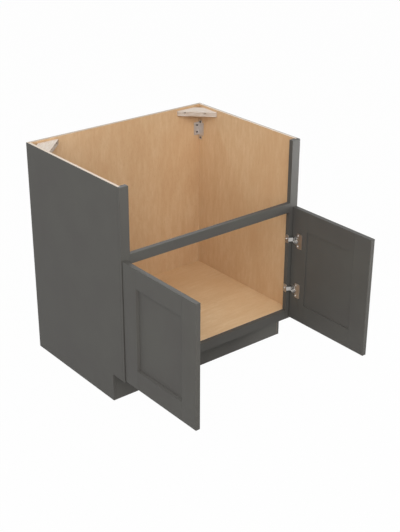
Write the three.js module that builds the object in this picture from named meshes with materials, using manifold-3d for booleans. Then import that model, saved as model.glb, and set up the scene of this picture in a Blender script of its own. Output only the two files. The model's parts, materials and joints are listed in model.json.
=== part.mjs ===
// A sink base cabinet: a plywood box with an open top, a face frame with an open apron front, and two
// five-piece doors on concealed hinges.
//
// Millimetres, +Z up. X = 0 is the cabinet's middle, Y = 0 the wall behind it and Z = 0 the floor, so the
// front faces -Y. What comes in a left and a right copy is written once, for the left, with its own X counted
// inwards from the cabinet's left outer face; the right copy is its mirror image.
// The doors are drawn as they stand in use for loading: open, square to the front.

import * as THREE from "three";
import { mergeVertices } from "three/addons/utils/BufferGeometryUtils.js";
import Module from "manifold-3d";

// ---------------------------------------------------------------------------------------------------------
// Driving dimensions
// ---------------------------------------------------------------------------------------------------------

const cabinetWidth = 838.2;
const cabinetDepth = 609.6; // wall to the front of the face frame
const cabinetHeight = 876.3;

const assemblyGap = 0.3; // left wherever one piece seats on, in or against another
const runningGap = 0.05; // round a pin that turns
const over = 1; // how far a cutter runs past the face it opens

// Plywood box
const sideThickness = 12.7;
const backThickness = 12.7;
const floorThickness = 12.7;
const housingDepth = 6.35; // how deep the sides are grooved for the floor and rebated for the back
const toeKickHeight = 114.3;
const toeKickDepth = 76.2; // from the front of the face frame
const toeKickThickness = 12.7;

// Face frame
const frameThickness = 19.05;
const frameStileWidth = 38.1;
const midRailHeight = 38.1;
const bottomRailHeight = 38.1;
const apronOpening = 254; // from the mid rail up to the worktop
const sideHousingInFrame = 6.35; // how far the sides' front edges are let into the stiles
const frameTenonLength = 12.7;
const frameTenonThickness = 6.35;
const frameTenonShoulder = 6.35; // above and below each tenon

// Doors
const doorThickness = 19.05;
const doorHeight = 482.6;
const doorBottomReveal = 6.35; // frame left showing under a closed door
const doorReveal = 8; // and beside it
const doorMeetingGap = 3.2; // between the two closed doors
const doorToFrameGap = 3.8;
const doorMemberFace = 76.2; // flat face of each stile and rail
const doorMouldingWidth = 4.8; // the slope from that face down to the panel
const doorRecessDepth = 9.5; // panel's face below the door's
const doorPanelThickness = 6.35;
const doorGrooveDepth = 9.5;
const doorPanelFloat = 1; // room round the panel for the wood to move
const doorFrontEasing = 1.5;
const doorBackEasing = 1;
const openAngle = Math.PI / 2;

// Concealed hinges
const hingePinFromDoorEdge = 7.5;
const hingePinFromDoorBack = 6;
const hingeFromDoorEnd = 133.35; // top and bottom
const hingePinRadius = 1.2;
const hingePinLength = 13.6;
const cupRadius = 17.5;
const cupFromDoorEdge = 3; // wood left between the cup and the door's edge
const cupDepth = 11;
const cupWall = 0.8;
const cupRimWidth = 1;
const cupFlangeStart = 27.5; // flange plate's near side, from the door's edge
const cupFlangeWidth = 28.5;
const cupFlangeHeight = 63;
const cupFlangeThickness = 1.2;
const cupFlangeCorner = 5;
const cupScrewFromDoorEdge = 34;
const cupScrewSpacing = 45;
const cupScrewHoleRadius = 2.2;
const cupEarThickness = 1.5;
const cupEarReach = 3.4; // how far an ear runs past the pin's centre, towards the middle of the cup
const springThickness = 0.8;
const springWidth = 15;
const springTongueWidth = 9.4; // between the ears
const springStart = -2; // from the pin
const springShoulder = 6;
const springEnd = 26;
const armThickness = 1.5;
const armHeight = 16;
const knuckleHeight = 10.4;
const knuckleRadius = 2.5;
const knuckleReach = 11; // from the pin to where the arm takes its full height
const armRun = 10; // from the pin along the cup's floor to the first bend
const armElbow = 2.6; // how far the second bend stands ahead of the face frame
const armBendRadius = 1; // inside the bends
const armToScrewGap = 0.8; // between the arm's foot and the head of the base's screw
const baseThickness = 2;
const baseHeight = 35;
const baseFront = 0.9; // how far the base stands ahead of the face frame
const baseWidth = 18.6;
const baseCorner = 6;

// Corner blocks and brackets in the rear top corners
const blockLeg = 117;
const blockClip = 30; // cut off the corner that faces the joint of side and back
const blockEnd = 6; // square end left at each tip
const blockThickness = 19.05;
const blockBelowTop = 9.3;
const pocketRadius = 4.75;
const pocketBelowBlockTop = 7;
const pocketFloor = 11; // wood left under the screw's head
const backPocketShare = 0.18; // along the slanted face, from its end at the back panel
const sidePocketShare = 0.71;
const bracketThickness = 2;
const bracketBackLeaf = 28.7;
const bracketSideLeaf = 31;
const bracketEarWidth = 20;
const bracketBelowTop = 76.3; // from the cabinet's top to the top of the bracket's leaves
const bracketHeight = 55;
const bracketEarAbove = 9; // how far the ears stand beyond the leaves
const bracketEarBelow = 20;
const bracketBackHole = 13; // holes' distance from the corner
const bracketSideHole = 11.5;
const bracketBackHoleInset = 12.5; // from the leaf's ends
const bracketSideHoleInset = 8;

// Screws
const screwShankRadius = 1.9;
const screwHeadRadius = 3.9;
const screwHeadHeight = 2.4;
const screwHeadRim = 1; // height of the head's upright edge
const screwHeadCrown = 2.3; // radius of its flat top
const screwBite = 8.5; // length in the piece it holds
const screwPoint = 3.8; // length of its tip

const roundSides = 32;
const smallRoundSides = 12;

// ---------------------------------------------------------------------------------------------------------
// Places worked out from them
// ---------------------------------------------------------------------------------------------------------

const halfWidth = cabinetWidth / 2;
const frameFront = -cabinetDepth;
const frameBack = frameFront + frameThickness;
const sideFront = frameBack - sideHousingInFrame;
const toeKickFront = frameFront + toeKickDepth;
const backInner = -backThickness;
const floorTopHeight = toeKickHeight + bottomRailHeight; // flush with the bottom rail
const floorUnderside = floorTopHeight - floorThickness;
const frameBottom = toeKickHeight;
const frameHeight = cabinetHeight - frameBottom;
const midRailTop = cabinetHeight - apronOpening;
const betweenSides = cabinetWidth - 2 * sideThickness;
const betweenHousings = betweenSides + 2 * housingDepth;
const betweenStiles = cabinetWidth - 2 * frameStileWidth;

const doorBottomHeight = frameBottom + doorBottomReveal;
const doorWidth = halfWidth - doorReveal - doorMeetingGap / 2;
const doorMember = doorMemberFace + doorMouldingWidth;
const pivotX = doorReveal + hingePinFromDoorEdge; // from the cabinet's outer side
const pivotY = frameFront - doorToFrameGap - hingePinFromDoorBack;
const doorHingeEdge = -hingePinFromDoorEdge; // from here on, a door's own frame: its pin is the origin
const doorBack = hingePinFromDoorBack;
const doorFront = doorBack - doorThickness;
const cupCentre = cupFromDoorEdge + cupRadius - hingePinFromDoorEdge;
const hingeHeights = {
  lower: doorBottomHeight + hingeFromDoorEnd,
  upper: doorBottomHeight + doorHeight - hingeFromDoorEnd,
};

const screwHoleRadius = screwShankRadius + assemblyGap;
const bracketTop = cabinetHeight - bracketBelowTop;
const bracketBottom = bracketTop - bracketHeight;
const earTop = bracketTop + bracketEarAbove;
const earBottom = bracketBottom - bracketEarBelow;
const bracketHoles = {
  back: [bracketTop - bracketBackHoleInset, bracketBottom + bracketBackHoleInset],
  side: [earTop - bracketSideHoleInset, earBottom + bracketSideHoleInset],
};

// The blocks' screws: one through each pocket, the first into the back, the second into the side.
const blockCornerX = sideThickness + assemblyGap;
const blockCornerY = backInner - assemblyGap;
const pocketHeight = cabinetHeight - blockBelowTop - pocketBelowBlockTop;
const backPocketX = blockCornerX + blockLeg * (1 - backPocketShare);
const sidePocketY = blockCornerY - blockLeg * sidePocketShare;

// ---------------------------------------------------------------------------------------------------------
// Materials
// ---------------------------------------------------------------------------------------------------------

const finish = (color, roughness, metalness = 0) => () =>
  new THREE.MeshStandardMaterial({ color, roughness, metalness });

const paint = finish("#5f5d59", 0.5);
const mapleVeneer = finish("#caa578", 0.55);
const poplar = finish("#d9cdbd", 0.75);
const nickel = finish("#b9b6b0", 0.3, 1);
const springSteel = finish("#cfcdc8", 0.25, 1);
const zinc = finish("#c2c3c4", 0.35, 1);

// ---------------------------------------------------------------------------------------------------------
// Shaping
// ---------------------------------------------------------------------------------------------------------

const wasm = await Module();
wasm.setup();

/** The closed solid inside a geometry, its shared corners merged. */
function solidOf(geometry) {
  const bare = geometry.index ? geometry.toNonIndexed() : geometry.clone();
  bare.deleteAttribute("normal");
  bare.deleteAttribute("uv");
  const merged = mergeVertices(bare, 1e-4);
  return new wasm.Manifold(
    new wasm.Mesh({
      numProp: 3,
      vertProperties: new Float32Array(merged.attributes.position.array),
      triVerts: new Uint32Array(merged.index.array),
    }),
  );
}

/** A geometry round a closed solid. */
function geometryOf(solid) {
  const mesh = solid.getMesh();
  const geometry = new THREE.BufferGeometry();
  geometry.setAttribute("position", new THREE.BufferAttribute(new Float32Array(mesh.vertProperties), 3));
  geometry.setIndex(new THREE.BufferAttribute(new Uint32Array(mesh.triVerts), 1));
  geometry.computeVertexNormals();
  return geometry;
}

const combine = (operation, first, others) =>
  geometryOf(others.flat().reduce((solid, other) => solid[operation](solidOf(other)), solidOf(first)));
const cut = (body, ...tools) => combine("subtract", body, tools);
const join = (body, ...pieces) => combine("add", body, pieces);
const keep = (body, ...shapes) => combine("intersect", body, shapes);

/** A block between two values on each axis. */
function block([x0, x1], [y0, y1], [z0, z1]) {
  const box = new THREE.BoxGeometry(x1 - x0, y1 - y0, z1 - z0);
  return box.translate((x0 + x1) / 2, (y0 + y1) / 2, (z0 + z1) / 2);
}

/** A shape through corner points. */
const outline = (...points) => new THREE.Shape(points.map(([x, y]) => new THREE.Vector2(x, y)));

/** A rectangle with rounded corners. */
function roundedRectangle([x0, x1], [y0, y1], radius) {
  const shape = new THREE.Shape();
  shape.absarc(x1 - radius, y0 + radius, radius, -Math.PI / 2, 0);
  shape.absarc(x1 - radius, y1 - radius, radius, 0, Math.PI / 2);
  shape.absarc(x0 + radius, y1 - radius, radius, Math.PI / 2, Math.PI);
  shape.absarc(x0 + radius, y0 + radius, radius, Math.PI, 1.5 * Math.PI);
  return shape;
}

/** A shape drawn in X and Y, raised from Z = from to Z = to. */
function raise(shape, from, to, curveSegments = 4) {
  const geometry = new THREE.ExtrudeGeometry(shape, { depth: to - from, bevelEnabled: false, curveSegments });
  return geometry.translate(0, 0, from);
}

/** A shape drawn in X and Z, carried back from Y = from to Y = to. */
function carryBack(shape, from, to, curveSegments = 4) {
  const geometry = new THREE.ExtrudeGeometry(shape, { depth: to - from, bevelEnabled: false, curveSegments });
  return geometry.rotateX(Math.PI / 2).translate(0, to, 0);
}

/** A shape drawn in Y and Z, carried across from X = from to X = to. */
function carryAcross(shape, from, to, curveSegments = 4) {
  const geometry = new THREE.ExtrudeGeometry(shape, { depth: to - from, bevelEnabled: false, curveSegments });
  return geometry.rotateX(Math.PI / 2).rotateZ(Math.PI / 2).translate(from, 0, 0);
}

/** A rod along an axis ("x", "y" or "z") between two values, through a point given on the other two. */
function rod(axis, [from, to], [a, b], radius, sides = smallRoundSides) {
  const cylinder = new THREE.CylinderGeometry(radius, radius, to - from, sides);
  const middle = (from + to) / 2;
  if (axis === "x") return cylinder.rotateZ(Math.PI / 2).translate(middle, a, b);
  if (axis === "y") return cylinder.translate(a, middle, b);
  return cylinder.rotateX(Math.PI / 2).translate(a, b, middle);
}

/** The radius whose many-sided rod leaves at least the given radius free inside it. */
const clearRadius = (radius, sides) => radius / Math.cos(Math.PI / sides);

/** A named mesh. */
function piece(name, geometry, material) {
  const mesh = new THREE.Mesh(geometry, material());
  mesh.name = name;
  return mesh;
}

// ---------------------------------------------------------------------------------------------------------
// Plywood box
// ---------------------------------------------------------------------------------------------------------

/** Holes that the screws of one rear corner cut in the side panel, as rods along X. */
function sidePilotHoles() {
  const inner = [sideThickness - screwBite - assemblyGap, sideThickness + over];
  const bracketY = backInner - assemblyGap - bracketSideHole;
  return [
    rod("x", inner, [sidePocketY, pocketHeight], screwHoleRadius),
    ...bracketHoles.side.map((z) => rod("x", inner, [bracketY, z], screwHoleRadius)),
  ];
}

function sidePanel(side) {
  const profile = outline(
    [0, 0],
    [0, cabinetHeight],
    [sideFront + assemblyGap, cabinetHeight],
    [sideFront + assemblyGap, toeKickHeight],
    [toeKickFront, toeKickHeight],
    [toeKickFront, 0],
  );
  const housed = [sideThickness - housingDepth, sideThickness + over];
  const floorGroove = block(
    housed,
    [sideFront - over, over],
    [floorUnderside - assemblyGap, floorTopHeight + assemblyGap],
  );
  const backRebate = block(housed, [backInner - assemblyGap, over], [-over, cabinetHeight + over]);
  const panel = cut(carryAcross(profile, 0, sideThickness), floorGroove, backRebate, sidePilotHoles());
  return piece(`side_panel_${side}`, panel, paint);
}

function backPanel() {
  const half = betweenHousings / 2 - assemblyGap;
  const bite = [backInner - over, backInner + screwBite + assemblyGap];
  const bracketX = halfWidth - sideThickness - assemblyGap - bracketBackHole;
  const holes = [-1, 1].flatMap((hand) => [
    rod("y", bite, [hand * (halfWidth - backPocketX), pocketHeight], screwHoleRadius),
    ...bracketHoles.back.map((z) => rod("y", bite, [hand * bracketX, z], screwHoleRadius)),
  ]);
  const panel = cut(block([-half, half], [backInner, 0], [0, cabinetHeight]), holes);
  return piece("back_panel", panel, mapleVeneer);
}

function floorPanel() {
  const half = betweenHousings / 2 - assemblyGap;
  const panel = block(
    [-half, half],
    [frameBack + assemblyGap, backInner - assemblyGap],
    [floorUnderside, floorTopHeight],
  );
  return piece("floor_panel", panel, mapleVeneer);
}

function toeKickBoard() {
  const half = betweenSides / 2 - assemblyGap;
  const board = block(
    [-half, half],
    [toeKickFront, toeKickFront + toeKickThickness],
    [0, floorUnderside - assemblyGap],
  );
  return piece("toe_kick_board", board, paint);
}

// ---------------------------------------------------------------------------------------------------------
// Face frame
// ---------------------------------------------------------------------------------------------------------

const frameMiddle = (frameFront + frameBack) / 2;

/** The end of a rail's tenon, from the stile's inner edge: grown by a gap, it is the mortise. */
function tenon(railBottom, railHeight, gap) {
  return block(
    [frameStileWidth - frameTenonLength - gap, frameStileWidth + over],
    [frameMiddle - frameTenonThickness / 2 - gap, frameMiddle + frameTenonThickness / 2 + gap],
    [railBottom + frameTenonShoulder - gap, railBottom + railHeight - frameTenonShoulder + gap],
  );
}

function frameStile(side) {
  const plan = outline(
    [0, frameFront],
    [frameStileWidth, frameFront],
    [frameStileWidth, frameBack],
    [sideThickness + assemblyGap, frameBack],
    [sideThickness + assemblyGap, sideFront],
    [0, sideFront],
  );
  const bite = [frameStileWidth - screwBite - assemblyGap, frameStileWidth + over];
  const stile = cut(
    raise(plan, frameBottom, frameBottom + frameHeight),
    tenon(midRailTop - midRailHeight, midRailHeight, assemblyGap),
    tenon(frameBottom, bottomRailHeight, assemblyGap),
    Object.values(hingeHeights).map((z) => rod("x", bite, [frameMiddle, z], screwHoleRadius)),
  );
  return piece(`frame_stile_${side}`, stile, paint);
}

function frameRail(name, bottom, height) {
  const half = betweenStiles / 2 - assemblyGap;
  const shoulders = block([-half, half], [frameFront, frameBack], [bottom, bottom + height]);
  const tongueHalf = betweenStiles / 2 + frameTenonLength;
  const tongue = block(
    [-tongueHalf, tongueHalf],
    [frameMiddle - frameTenonThickness / 2, frameMiddle + frameTenonThickness / 2],
    [bottom + frameTenonShoulder, bottom + height - frameTenonShoulder],
  );
  return piece(name, join(shoulders, tongue), paint);
}

// ---------------------------------------------------------------------------------------------------------
// Rear corners: a block with two pocket screws, and a bracket under it
// ---------------------------------------------------------------------------------------------------------

/** A pan-head screw along +Z: the underside of its head is at Z = 0 and its shank runs down from there. */
function screwGeometry(length) {
  const profile = [
    [0, -length],
    [screwShankRadius, -length + screwPoint],
    [screwShankRadius, 0],
    [screwHeadRadius, 0],
    [screwHeadRadius, screwHeadRim],
    [screwHeadCrown, screwHeadHeight],
    [0, screwHeadHeight],
  ];
  const lathe = new THREE.LatheGeometry(
    profile.map(([r, z]) => new THREE.Vector2(r, z)),
    smallRoundSides,
  );
  return lathe.rotateX(Math.PI / 2);
}

/** A screw whose head sits at a point and whose tip points along -X, +Y or +X. */
function screw(name, length, [x, y, z], towards) {
  const mesh = piece(name, geometryOf(solidOf(screwGeometry(length))), zinc);
  mesh.position.set(x, y, z);
  if (towards === "-x") mesh.rotation.y = Math.PI / 2;
  if (towards === "+y") mesh.rotation.x = Math.PI / 2;
  return mesh;
}

function cornerBlock(side) {
  const far = blockLeg - blockEnd;
  const plan = outline(
    [blockCornerX + blockClip, blockCornerY],
    [blockCornerX, blockCornerY - blockClip],
    [blockCornerX, blockCornerY - blockLeg],
    [blockCornerX + blockEnd, blockCornerY - blockLeg],
    [blockCornerX + blockLeg, blockCornerY - blockLeg + far],
    [blockCornerX + blockLeg, blockCornerY],
  );
  const top = cabinetHeight - blockBelowTop;
  const atBack = [backPocketX, pocketHeight];
  const atSide = [sidePocketY, pocketHeight];
  const farX = blockCornerX + blockLeg;
  const farY = blockCornerY - blockLeg;
  const block = cut(
    raise(plan, top - blockThickness, top),
    rod("y", [farY, blockCornerY - pocketFloor], atBack, pocketRadius),
    rod("y", [farY, blockCornerY + over], atBack, screwHoleRadius),
    rod("x", [blockCornerX + pocketFloor, farX], atSide, pocketRadius),
    rod("x", [blockCornerX - over, farX], atSide, screwHoleRadius),
  );
  return piece(`corner_block_${side}`, block, poplar);
}

/** The two screws in the block's pockets. */
function blockScrews(side) {
  const length = pocketFloor + 2 * assemblyGap + screwBite;
  const seat = pocketFloor + assemblyGap;
  const backSeat = [backPocketX, blockCornerY - seat, pocketHeight];
  const sideSeat = [blockCornerX + seat, sidePocketY, pocketHeight];
  return [
    screw(`block_screw_back_${side}`, length, backSeat, "+y"),
    screw(`block_screw_side_${side}`, length, sideSeat, "-x"),
  ];
}

/** A stamped angle: a plain leaf on the back panel, and one with two ears on the side panel. */
function cornerBracket(side) {
  const x0 = blockCornerX;
  const y0 = blockCornerY;
  const sideLeaf = outline(
    [y0, bracketBottom],
    [y0, bracketTop],
    [y0 - bracketThickness, bracketTop],
    [y0 - bracketThickness, earTop],
    [y0 - bracketEarWidth, earTop],
    [y0 - bracketEarWidth, bracketTop],
    [y0 - bracketSideLeaf, bracketTop],
    [y0 - bracketSideLeaf, bracketBottom],
    [y0 - bracketEarWidth, bracketBottom],
    [y0 - bracketEarWidth, earBottom],
    [y0 - bracketThickness, earBottom],
    [y0 - bracketThickness, bracketBottom],
  );
  const backLeaf = block(
    [x0, x0 + bracketBackLeaf],
    [y0 - bracketThickness, y0],
    [bracketBottom, bracketTop],
  );
  const throughBack = [y0 - bracketThickness - over, y0 + over];
  const throughSide = [x0 - over, x0 + bracketThickness + over];
  const bracket = cut(
    join(carryAcross(sideLeaf, x0, x0 + bracketThickness), backLeaf),
    bracketHoles.back.map((z) => rod("y", throughBack, [x0 + bracketBackHole, z], screwHoleRadius)),
    bracketHoles.side.map((z) => rod("x", throughSide, [y0 - bracketSideHole, z], screwHoleRadius)),
  );
  return piece(`corner_bracket_${side}`, bracket, zinc);
}

function bracketScrews(side) {
  const length = bracketThickness + 2 * assemblyGap + screwBite;
  const seat = bracketThickness + assemblyGap;
  const names = ["upper", "lower"];
  return names.flatMap((name, i) => {
    const backSeat = [blockCornerX + bracketBackHole, blockCornerY - seat, bracketHoles.back[i]];
    const sideSeat = [blockCornerX + seat, blockCornerY - bracketSideHole, bracketHoles.side[i]];
    return [
      screw(`bracket_screw_back_${name}_${side}`, length, backSeat, "+y"),
      screw(`bracket_screw_side_${name}_${side}`, length, sideSeat, "-x"),
    ];
  });
}

// ---------------------------------------------------------------------------------------------------------
// Hinges, the half that stays on the face frame: base, its screw, and the arm that hooks into the cup
// ---------------------------------------------------------------------------------------------------------

const baseInner = frameStileWidth + assemblyGap;
const baseOuter = baseInner + baseThickness;

function hingeBase(name, height) {
  const front = frameFront - baseFront;
  const face = roundedRectangle(
    [front, front + baseWidth],
    [height - baseHeight / 2, height + baseHeight / 2],
    baseCorner,
  );
  const plate = carryAcross(face, baseInner, baseOuter);
  const hole = rod("x", [baseInner - over, baseOuter + over], [frameMiddle, height], screwHoleRadius);
  return piece(`hinge_base_${name}`, cut(plate, hole), nickel);
}

function hingeBaseScrew(name, height) {
  const length = baseThickness + 2 * assemblyGap + screwBite;
  return screw(`hinge_base_screw_${name}`, length, [baseOuter + assemblyGap, frameMiddle, height], "-x");
}

/** A strip's section: it turns to the left at each bend, and its outside runs through the points. */
function bentStrip(points, thickness, insideRadius) {
  const outside = points.map(([x, y]) => new THREE.Vector2(x, y));
  const runs = outside.slice(1).map((point, i) => point.clone().sub(outside[i]).normalize());
  const toInside = runs.map((run) => new THREE.Vector2(-run.y, run.x).multiplyScalar(thickness));
  const bends = runs.slice(1).map((after, i) => {
    const before = runs[i];
    const spread = Math.tan(Math.acos(before.dot(after)) / 2);
    const corner = outside[i + 1];
    const start = corner.clone().addScaledVector(before, -(insideRadius + thickness) * spread);
    const end = corner.clone().addScaledVector(after, (insideRadius + thickness) * spread);
    const insideStart = start.clone().add(toInside[i]);
    const insideEnd = end.clone().add(toInside[i + 1]);
    const insideCorner = insideStart.clone().addScaledVector(before, insideRadius * spread);
    return [start, corner, end, insideEnd, insideCorner, insideStart];
  });
  const tip = outside.at(-1);
  const insideTip = tip.clone().add(toInside.at(-1));
  const insideHeel = outside[0].clone().add(toInside[0]);

  const shape = new THREE.Shape();
  const turn = (from, corner, to) => {
    shape.lineTo(from.x, from.y);
    shape.quadraticCurveTo(corner.x, corner.y, to.x, to.y);
  };
  shape.moveTo(outside[0].x, outside[0].y);
  bends.forEach((bend) => turn(...bend.slice(0, 3)));
  shape.lineTo(tip.x, tip.y);
  shape.lineTo(insideTip.x, insideTip.y);
  bends.toReversed().forEach((bend) => turn(...bend.slice(3)));
  shape.lineTo(insideHeel.x, insideHeel.y);
  return shape;
}

/** The arm: round the pin, out of the cup, and back along the outside of the base. */
function hingeArm(name, height) {
  const outerX = baseOuter + assemblyGap + armThickness;
  const deepY = pivotY - knuckleRadius;
  const section = bentStrip(
    [
      [pivotX, deepY],
      [pivotX + armRun, deepY],
      [outerX, frameFront - armElbow],
      [outerX, frameMiddle - screwHeadRadius - armToScrewGap],
    ],
    armThickness,
    armBendRadius,
  );
  const half = armHeight / 2;
  const knuckleHalf = knuckleHeight / 2;
  const shoulder = [pivotX - knuckleRadius - over, pivotX + knuckleReach];
  const across = [deepY - over, pivotY + knuckleRadius + over];
  const pinHole = clearRadius(hingePinRadius + runningGap, roundSides);
  const arm = cut(
    join(
      raise(section, -half, half),
      rod("z", [-knuckleHalf, knuckleHalf], [pivotX, pivotY], knuckleRadius, roundSides),
    ),
    block(shoulder, across, [knuckleHalf, half + over]),
    block(shoulder, across, [-half - over, -knuckleHalf]),
    rod("z", [-armHeight, armHeight], [pivotX, pivotY], pinHole, roundSides),
  );
  const mesh = piece(`hinge_arm_${name}`, arm, nickel);
  mesh.position.z = height;
  return mesh;
}

// ---------------------------------------------------------------------------------------------------------
// Hinges, the half that rides on the door, in the door's own frame: its pin is the origin, the closed door
// reaches along +X and its back is towards +Y
// ---------------------------------------------------------------------------------------------------------

const cupMouth = cupRadius - cupWall;
const cupFloor = doorBack - cupDepth + cupWall;

/** Cup with its rim, flange plate and the two ears that hold the pin. */
function hingeCup(name, height) {
  const plateBack = doorBack + assemblyGap;
  const plateFront = plateBack + cupFlangeThickness;
  const flangeX = doorHingeEdge + cupFlangeStart;
  const plate = carryBack(
    roundedRectangle(
      [flangeX, flangeX + cupFlangeWidth],
      [-cupFlangeHeight / 2, cupFlangeHeight / 2],
      cupFlangeCorner,
    ),
    plateBack,
    plateFront,
  );
  const rim = rod("y", [plateBack, plateFront], [cupCentre, 0], cupRadius + cupRimWidth, roundSides);
  const wall = rod("y", [doorBack - cupDepth, plateFront], [cupCentre, 0], cupRadius, roundSides);
  const hollow = rod("y", [cupFloor, plateFront + over], [cupCentre, 0], cupMouth, roundSides);
  const earInner = knuckleHeight / 2 + assemblyGap;
  const earReach = [cupCentre - cupRadius, cupEarReach];
  const earRise = [doorBack - cupDepth, hingePinRadius + cupEarThickness];
  const ears = keep(
    join(
      block(earReach, earRise, [earInner, earInner + cupEarThickness]),
      block(earReach, earRise, [-earInner - cupEarThickness, -earInner]),
      block(earReach, [doorBack - cupDepth, cupFloor], [-earInner - over, earInner + over]),
    ),
    wall,
  );
  const pinHole = clearRadius(hingePinRadius + runningGap, roundSides);
  const pinHalf = hingePinLength / 2 + runningGap;
  const screwX = doorHingeEdge + cupScrewFromDoorEdge;
  const screwRise = cupScrewSpacing / 2;
  const throughPlate = [plateBack - over, plateFront + over];
  const cup = cut(
    join(cut(join(plate, rim, wall), hollow), ears),
    rod("z", [-pinHalf, pinHalf], [0, 0], pinHole, roundSides),
    rod("y", throughPlate, [screwX, screwRise], cupScrewHoleRadius),
    rod("y", throughPlate, [screwX, -screwRise], cupScrewHoleRadius),
  );
  const mesh = piece(`hinge_cup_${name}`, cup, nickel);
  mesh.position.z = height;
  return mesh;
}

function hingePin(name, height) {
  const half = hingePinLength / 2;
  const pin = rod("z", [-half, half], [0, 0], hingePinRadius, roundSides);
  const mesh = piece(`hinge_pin_${name}`, pin, zinc);
  mesh.position.z = height;
  return mesh;
}

/** The leaf spring on the cup's floor, which pulls the door shut over its last degrees. */
function hingeSpring(name, height) {
  const half = springWidth / 2;
  const tongue = springTongueWidth / 2;
  const face = outline(
    [springStart, -tongue],
    [springShoulder, -tongue],
    [springShoulder + half - tongue, -half],
    [springEnd, -half],
    [springEnd, half],
    [springShoulder + half - tongue, half],
    [springShoulder, tongue],
    [springStart, tongue],
  );
  const underside = cupFloor + assemblyGap;
  const leaf = carryBack(face, underside, underside + springThickness);
  const mesh = piece(`hinge_spring_${name}`, leaf, springSteel);
  mesh.position.z = height;
  return mesh;
}

// ---------------------------------------------------------------------------------------------------------
// Doors, in the same frame, with Z counted from the door's own bottom
// ---------------------------------------------------------------------------------------------------------

const panelFace = doorFront + doorRecessDepth;
const panelRear = panelFace + doorPanelThickness;
const doorFreeEdge = doorHingeEdge + doorWidth;

/** The whole door as a blank with its outer edges eased. */
function doorBlank() {
  const ease = (radius, from, to) => {
    const face = outline(
      [doorHingeEdge, 0],
      [doorFreeEdge, 0],
      [doorFreeEdge, doorHeight],
      [doorHingeEdge, doorHeight],
    );
    const geometry = new THREE.ExtrudeGeometry(face, {
      depth: to - from - 2 * radius,
      bevelThickness: radius,
      bevelSize: radius,
      bevelOffset: -radius,
      bevelSegments: 3,
    });
    return geometry.rotateX(Math.PI / 2).translate(0, to - radius, 0);
  };
  const deep = doorThickness + 4 * doorFrontEasing; // so that each end's easing is well clear of the other
  return keep(
    ease(doorFrontEasing, doorFront, doorFront + deep),
    ease(doorBackEasing, doorBack - deep, doorBack),
  );
}

/** Section of a frame member: across from its outer edge, and back from the door's face. */
function memberSection(toRow) {
  const corners = [
    [0, doorFront],
    [doorMemberFace, doorFront],
    [doorMember, panelFace - assemblyGap],
    [doorMember - doorGrooveDepth, panelFace - assemblyGap],
    [doorMember - doorGrooveDepth, panelRear + assemblyGap],
    [doorMember, panelRear + assemblyGap],
    [doorMember, doorBack],
    [0, doorBack],
  ];
  return corners.map(toRow);
}

function doorStile(name, hinged) {
  const toRow = hinged ? ([a, y]) => [doorHingeEdge + a, y] : ([a, y]) => [doorFreeEdge - a, y];
  const corners = memberSection(toRow);
  const plan = outline(...(hinged ? corners : corners.reverse()));
  const stile = keep(raise(plan, 0, doorHeight), doorBlank());
  const depth = [doorBack - cupDepth - assemblyGap, doorBack + over];
  const bore = clearRadius(cupRadius + assemblyGap, roundSides);
  const bores = Object.values(hingeHeights).map((height) =>
    rod("y", depth, [cupCentre, height - doorBottomHeight], bore, roundSides),
  );
  return piece(name, hinged ? cut(stile, bores) : stile, paint);
}

/** A rail between the stiles: its long edge has the moulding and groove, its ends the reverse of both. */
function doorRail(name, atTop) {
  const toColumn = atTop ? ([a, y]) => [y, doorHeight - a] : ([a, y]) => [y, a];
  const corners = memberSection(toColumn);
  const profile = outline(...(atTop ? corners : corners.reverse()));
  const ends = (sign, edge) =>
    [
      [doorMemberFace + assemblyGap, doorFront],
      [doorMember + assemblyGap, panelFace],
      [doorMember - doorGrooveDepth + assemblyGap, panelFace],
      [doorMember - doorGrooveDepth + assemblyGap, panelRear],
      [doorMember + assemblyGap, panelRear],
      [doorMember + assemblyGap, doorBack],
    ].map(([a, y]) => [edge + sign * a, y]);
  const plan = outline(...ends(1, doorHingeEdge).reverse(), ...ends(-1, doorFreeEdge));
  const rail = keep(
    carryAcross(profile, doorHingeEdge, doorFreeEdge),
    raise(plan, -over, doorHeight + over),
    doorBlank(),
  );
  return piece(name, rail, paint);
}

function doorPanel(name) {
  const inset = doorMember - doorGrooveDepth + doorPanelFloat;
  const panel = block(
    [doorHingeEdge + inset, doorFreeEdge - inset],
    [panelFace, panelRear],
    [inset, doorHeight - inset],
  );
  return piece(name, panel, paint);
}

/** A door with the halves of its hinges that ride on it, turned about its pins. */
function door(side) {
  const wood = new THREE.Group();
  wood.position.z = doorBottomHeight;
  wood.add(
    doorStile(`door_hinge_stile_${side}`, true),
    doorStile(`door_free_stile_${side}`, false),
    doorRail(`door_top_rail_${side}`, true),
    doorRail(`door_bottom_rail_${side}`, false),
    doorPanel(`door_panel_${side}`),
  );
  const turning = new THREE.Group();
  turning.position.set(pivotX, pivotY, 0);
  turning.rotation.z = -openAngle;
  turning.add(wood);
  for (const [level, height] of Object.entries(hingeHeights)) {
    const name = `${level}_${side}`;
    turning.add(hingeCup(name, height), hingePin(name, height), hingeSpring(name, height));
  }
  return turning;
}

// ---------------------------------------------------------------------------------------------------------
// Assembly
// ---------------------------------------------------------------------------------------------------------

/** Everything that stands at one side of the cabinet, counted inwards from its outer face. */
function sideAssembly(side) {
  const group = new THREE.Group();
  group.add(sidePanel(side), frameStile(side), cornerBlock(side), ...blockScrews(side));
  group.add(cornerBracket(side), ...bracketScrews(side));
  for (const [level, height] of Object.entries(hingeHeights)) {
    const name = `${level}_${side}`;
    group.add(hingeBase(name, height), hingeBaseScrew(name, height), hingeArm(name, height));
  }
  group.add(door(side));
  return group;
}

const left = sideAssembly("left");
left.position.x = -halfWidth;
const right = sideAssembly("right");
right.position.x = halfWidth;
right.scale.x = -1;

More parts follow.
